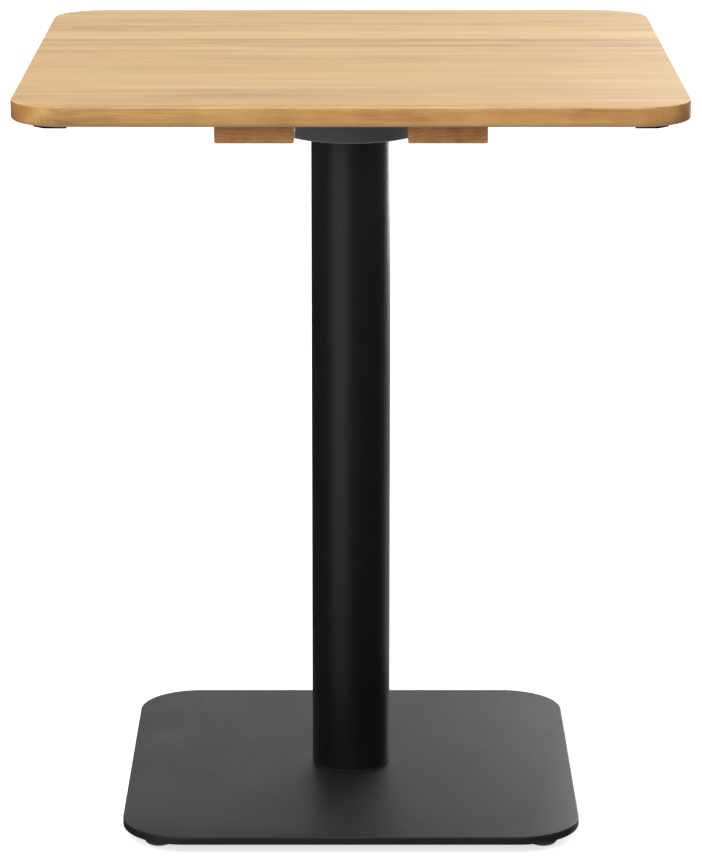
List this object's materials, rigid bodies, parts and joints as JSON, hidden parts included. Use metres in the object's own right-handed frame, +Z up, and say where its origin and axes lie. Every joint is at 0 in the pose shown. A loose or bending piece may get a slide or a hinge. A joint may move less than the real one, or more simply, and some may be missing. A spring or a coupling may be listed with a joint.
{
  "type": "bistro table",
  "caption": "Square bistro table with an edge-glued wooden board top on battens, a round steel column and a flat square base plate on levelling glides.",
  "frame": {"origin": "on the floor, under the middle of the tabletop and the column axis", "axes": "+Z up along the column; -Y towards the front; the top's boards run along X and the battens along Y"},
  "size_m": [0.6, 0.6, 0.724],
  "materials": {
    "top_wood": "oiled, satin, edge-glued boards with straight honey-coloured grain",
    "batten_wood": "oiled, satin, darker than the top",
    "black_coat": "fine-textured matt black powder coat",
    "charcoal_coat": "fine-textured matt charcoal powder coat",
    "grey_coat": "matt dark grey powder coat on a casting",
    "zinc_steel": "bright zinc-plated steel",
    "insert_brass": "machined brass",
    "black_rubber": "matt black rubber",
    "black_nylon": "moulded black nylon",
    "grey_nylon": "moulded grey nylon sliding sole"
  },
  "bodies": {
    "table": {"top_board_1": "top_wood", "top_board_2": "top_wood", "top_board_3": "top_wood", "top_board_4": "top_wood", "top_board_5": "top_wood", "top_board_6": "top_wood", "top_board_7": "top_wood", "top_board_8": "top_wood", "top_board_9": "top_wood", "top_board_10": "top_wood", "top_board_11": "top_wood", "top_board_12": "top_wood", "batten_left": "batten_wood", "batten_right": "batten_wood", "batten_screws": "zinc_steel", "corner_pad_screws": "zinc_steel", "plate_bolts": "zinc_steel", "plate_washers": "zinc_steel", "collar_screws": "zinc_steel", "column_spigot": "zinc_steel", "tie_rod": "zinc_steel", "rod_washers": "zinc_steel", "rod_nut_upper": "zinc_steel", "rod_nut_lower": "zinc_steel", "glide_bushes": "zinc_steel", "threaded_inserts": "insert_brass", "corner_pads": "black_rubber", "column_gasket": "black_rubber", "mounting_plate": "black_coat", "column_tube": "black_coat", "collar": "grey_coat", "base_plate": "charcoal_coat"},
    "foot_front_left": {"glide_foot_front_left": "black_nylon", "glide_sole_front_left": "grey_nylon"},
    "stud_front_left": {"glide_stud_front_left": "zinc_steel"},
    "foot_front_right": {"glide_foot_front_right": "black_nylon", "glide_sole_front_right": "grey_nylon"},
    "stud_front_right": {"glide_stud_front_right": "zinc_steel"},
    "foot_back_left": {"glide_foot_back_left": "black_nylon", "glide_sole_back_left": "grey_nylon"},
    "stud_back_left": {"glide_stud_back_left": "zinc_steel"},
    "foot_back_right": {"glide_foot_back_right": "black_nylon", "glide_sole_back_right": "grey_nylon"},
    "stud_back_right": {"glide_stud_back_right": "zinc_steel"}
  },
  "joints": [
    {"name": "glide_front_left_lower", "type": "slide", "parent": "table", "child": "foot_front_left", "axis": [0, 0, -1], "range_m": [0, 0.005]},
    {"name": "glide_front_left_turn", "type": "hinge", "parent": "foot_front_left", "child": "stud_front_left", "pos_m": [-0.1815, -0.1815, 0.0075], "axis": [0, 0, -1], "range_deg": [0, 1440]},
    {"name": "glide_front_right_lower", "type": "slide", "parent": "table", "child": "foot_front_right", "axis": [0, 0, -1], "range_m": [0, 0.005]},
    {"name": "glide_front_right_turn", "type": "hinge", "parent": "foot_front_right", "child": "stud_front_right", "pos_m": [0.1815, -0.1815, 0.0075], "axis": [0, 0, -1], "range_deg": [0, 1440]},
    {"name": "glide_back_left_lower", "type": "slide", "parent": "table", "child": "foot_back_left", "axis": [0, 0, -1], "range_m": [0, 0.005]},
    {"name": "glide_back_left_turn", "type": "hinge", "parent": "foot_back_left", "child": "stud_back_left", "pos_m": [-0.1815, 0.1815, 0.0075], "axis": [0, 0, -1], "range_deg": [0, 1440]},
    {"name": "glide_back_right_lower", "type": "slide", "parent": "table", "child": "foot_back_right", "axis": [0, 0, -1], "range_m": [0, 0.005]},
    {"name": "glide_back_right_turn", "type": "hinge", "parent": "foot_back_right", "child": "stud_back_right", "pos_m": [0.1815, 0.1815, 0.0075], "axis": [0, 0, -1], "range_deg": [0, 1440]}
  ],
  "couplings": [
    {"joint": "glide_front_left_lower", "follows": "glide_front_left_turn", "m_per_rad": 0.00019894},
    {"joint": "glide_front_right_lower", "follows": "glide_front_right_turn", "m_per_rad": 0.00019894},
    {"joint": "glide_back_left_lower", "follows": "glide_back_left_turn", "m_per_rad": 0.00019894},
    {"joint": "glide_back_right_lower", "follows": "glide_back_right_turn", "m_per_rad": 0.00019894}
  ]
}
